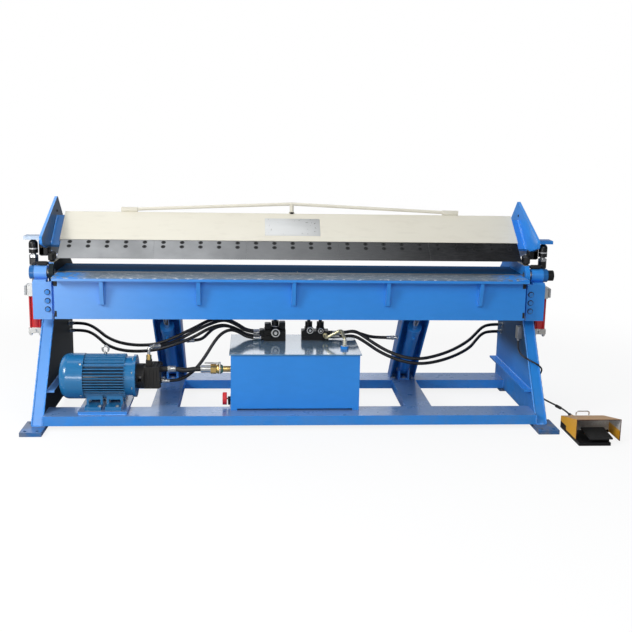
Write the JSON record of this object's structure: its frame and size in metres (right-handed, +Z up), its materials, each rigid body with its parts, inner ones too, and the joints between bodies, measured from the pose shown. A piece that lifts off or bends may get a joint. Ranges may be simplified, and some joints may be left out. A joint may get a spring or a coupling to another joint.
{
  "type": "sheet metal folding machine",
  "caption": "Floor-standing hydraulic sheet folder: hinged apron, segmented clamping blades, fold and clamp cylinders, motor pump, oil tank and foot pedal.",
  "frame": {"origin": "on the floor, midway between the four foot plates", "axes": "+X along the folding line to the operator's right, +Y to the rear, +Z up"},
  "size_m": [3.096, 1.145, 1.1429],
  "materials": {
    "machine_blue": "semi-gloss enamel",
    "grey_paint": "satin",
    "cream_paint": "satin enamel",
    "motor_blue": "semi-gloss enamel",
    "yellow_paint": "satin enamel",
    "cylinder_red": "gloss enamel, silver caps",
    "ground_steel": "ground and lightly oiled",
    "black_steel": "black oxide",
    "chrome_rod": "polished rod",
    "zinc_plate": "zinc plated",
    "black_iron": "black paint on castings",
    "brass": "machined",
    "black_plastic": "moulded",
    "red_plastic": "moulded",
    "hose_rubber": "matt braided-hose cover",
    "black_rubber": "ribbed mat"
  },
  "bodies": {
    "base": {"side_frame_left": "machine_blue", "side_frame_right": "machine_blue", "foot_plates": "machine_blue", "floor_frame": "machine_blue", "table_beam": "machine_blue", "table_edge_bar": "ground_steel", "pivot_pins": "ground_steel", "cylinder_struts": "machine_blue", "cylinder_brackets": "grey_paint", "motor_housing": "motor_blue", "fan_cowl": "motor_blue", "pump_adapter": "black_iron", "pump_housing": "black_iron", "oil_tank": "machine_blue", "tank_lid": "machine_blue", "valve_group": "black_iron", "rigid_pipes": "zinc_plate", "tank_valves": "brass", "cable_connector": "zinc_plate", "pedal_base": "black_iron", "pedal_hood": "yellow_paint", "treadle_spring": "ground_steel", "clamp_hose_left_a": "hose_rubber", "clamp_hose_left_b": "hose_rubber", "clamp_hose_right_a": "hose_rubber", "clamp_hose_right_b": "hose_rubber", "fold_hose_left": "hose_rubber", "fold_hose_right": "hose_rubber", "pump_hose": "hose_rubber", "pressure_hose": "hose_rubber", "suction_hose": "hose_rubber", "pedal_cable": "hose_rubber"},
    "apron": {"apron_beam": "machine_blue", "apron_wear_strip": "ground_steel", "apron_end_blocks": "machine_blue", "hinge_bushes": "brass", "apron_end_bolts": "machine_blue", "fold_levers": "machine_blue"},
    "clamp": {"clamp_beam": "cream_paint", "clamp_blades": "ground_steel", "blade_screws": "black_steel", "clamp_arms": "machine_blue", "beam_truss": "cream_paint"},
    "fold_barrel_left_body": {"fold_barrel_left": "machine_blue"},
    "fold_rod_left_body": {"fold_rod_left": "chrome_rod"},
    "fold_barrel_right_body": {"fold_barrel_right": "machine_blue"},
    "fold_rod_right_body": {"fold_rod_right": "chrome_rod"},
    "clamp_barrel_left_body": {"clamp_barrel_left": "cylinder_red"},
    "clamp_rod_left_body": {"clamp_rod_left": "chrome_rod"},
    "clamp_barrel_right_body": {"clamp_barrel_right": "cylinder_red"},
    "clamp_rod_right_body": {"clamp_rod_right": "chrome_rod"},
    "stop_knob": {"angle_stop_knob": "black_plastic"},
    "motor_shaft": {"motor_rotor": "ground_steel", "pump_drive_gear": "ground_steel"},
    "pump_idler": {"pump_driven_gear": "ground_steel"},
    "treadle": {"pedal_treadle": "black_rubber"},
    "suction_handle": {"suction_lever": "zinc_plate"},
    "drain_wheel": {"drain_handle": "red_plastic"},
    "filler": {"filler_cap": "black_plastic"},
    "override": {"override_button": "brass"}
  },
  "joints": [
    {"name": "apron_fold", "type": "hinge", "parent": "base", "child": "apron", "pos_m": [0, -0.071, 0.77], "axis": [-1, 0, 0], "range_deg": [0, 90]},
    {"name": "clamp_close", "type": "hinge", "parent": "base", "child": "clamp", "pos_m": [0, 0.379, 0.807], "axis": [1, 0, 0], "range_deg": [0, 9.53]},
    {"name": "fold_swing_left", "type": "hinge", "parent": "base", "child": "fold_barrel_left_body", "pos_m": [-0.683, 0.33, 0.13], "axis": [-1, 0, 0], "range_deg": [0, 3.19]},
    {"name": "fold_stroke_left", "type": "slide", "parent": "fold_barrel_left_body", "child": "fold_rod_left_body", "axis": [0, -0.7112, 0.703], "range_m": [0, 0.2991]},
    {"name": "clamp_swing_left", "type": "hinge", "parent": "base", "child": "clamp_barrel_left_body", "pos_m": [-1.388, 0.01, 0.661], "axis": [1, 0, 0], "range_deg": [0, 3.72]},
    {"name": "clamp_stroke_left", "type": "slide", "parent": "clamp_barrel_left_body", "child": "clamp_rod_left_body", "axis": [0, 0, -1], "range_m": [0, 0.0626]},
    {"name": "fold_swing_right", "type": "hinge", "parent": "base", "child": "fold_barrel_right_body", "pos_m": [0.683, 0.33, 0.13], "axis": [-1, 0, 0], "range_deg": [0, 3.19]},
    {"name": "fold_stroke_right", "type": "slide", "parent": "fold_barrel_right_body", "child": "fold_rod_right_body", "axis": [0, -0.7112, 0.703], "range_m": [0, 0.2991]},
    {"name": "clamp_swing_right", "type": "hinge", "parent": "base", "child": "clamp_barrel_right_body", "pos_m": [1.388, 0.01, 0.661], "axis": [1, 0, 0], "range_deg": [0, 3.72]},
    {"name": "clamp_stroke_right", "type": "slide", "parent": "clamp_barrel_right_body", "child": "clamp_rod_right_body", "axis": [0, 0, -1], "range_m": [0, 0.0626]},
    {"name": "stop_turn", "type": "hinge", "parent": "base", "child": "stop_knob", "pos_m": [1.391, -0.071, 0.77], "axis": [1, 0, 0], "range_deg": [0, 270]},
    {"name": "motor_spin", "type": "hinge", "parent": "base", "child": "motor_shaft", "pos_m": [-0.95, -0.205, 0.24], "axis": [1, 0, 0], "continuous": true},
    {"name": "idler_spin", "type": "hinge", "parent": "base", "child": "pump_idler", "pos_m": [-0.74, -0.169, 0.24], "axis": [1, 0, 0], "continuous": true},
    {"name": "treadle_press", "type": "hinge", "parent": "base", "child": "treadle", "pos_m": [1.538, -0.63, 0.026], "axis": [-1, 0, 0], "range_deg": [0, 7], "stiffness_Nm_per_rad": 40, "springref_deg": -6.88, "deforming": ["treadle_spring"]},
    {"name": "suction_valve_turn", "type": "hinge", "parent": "base", "child": "suction_handle", "pos_m": [-0.392, -0.205, 0.31], "axis": [0, 0, 1], "range_deg": [0, 90]},
    {"name": "drain_turn", "type": "hinge", "parent": "base", "child": "drain_wheel", "pos_m": [-0.363, -0.23, 0.121], "axis": [1, 0, 0], "range_deg": [0, 270]},
    {"name": "filler_turn", "type": "hinge", "parent": "base", "child": "filler", "pos_m": [-0.094, 0.122, 0.4], "axis": [0, 0, 1], "range_deg": [0, 90]},
    {"name": "override_press", "type": "slide", "parent": "base", "child": "override", "axis": [0, 0, -1], "range_m": [0, 0.003], "stiffness_N_per_m": 2000, "springref_m": -0.001}
  ],
  "couplings": [
    {"joint": "fold_swing_left", "follows": "apron_fold", "ratio": 0.034867},
    {"joint": "fold_stroke_left", "follows": "apron_fold", "m_per_rad": 0.18976},
    {"joint": "clamp_swing_left", "follows": "clamp_close", "ratio": 0.38507},
    {"joint": "clamp_stroke_left", "follows": "clamp_close", "m_per_rad": 0.37354},
    {"joint": "fold_swing_right", "follows": "apron_fold", "ratio": 0.034867},
    {"joint": "fold_stroke_right", "follows": "apron_fold", "m_per_rad": 0.18976},
    {"joint": "clamp_swing_right", "follows": "clamp_close", "ratio": 0.38507},
    {"joint": "clamp_stroke_right", "follows": "clamp_close", "m_per_rad": 0.37354},
    {"joint": "idler_spin", "follows": "motor_spin", "ratio": -1}
  ]
}
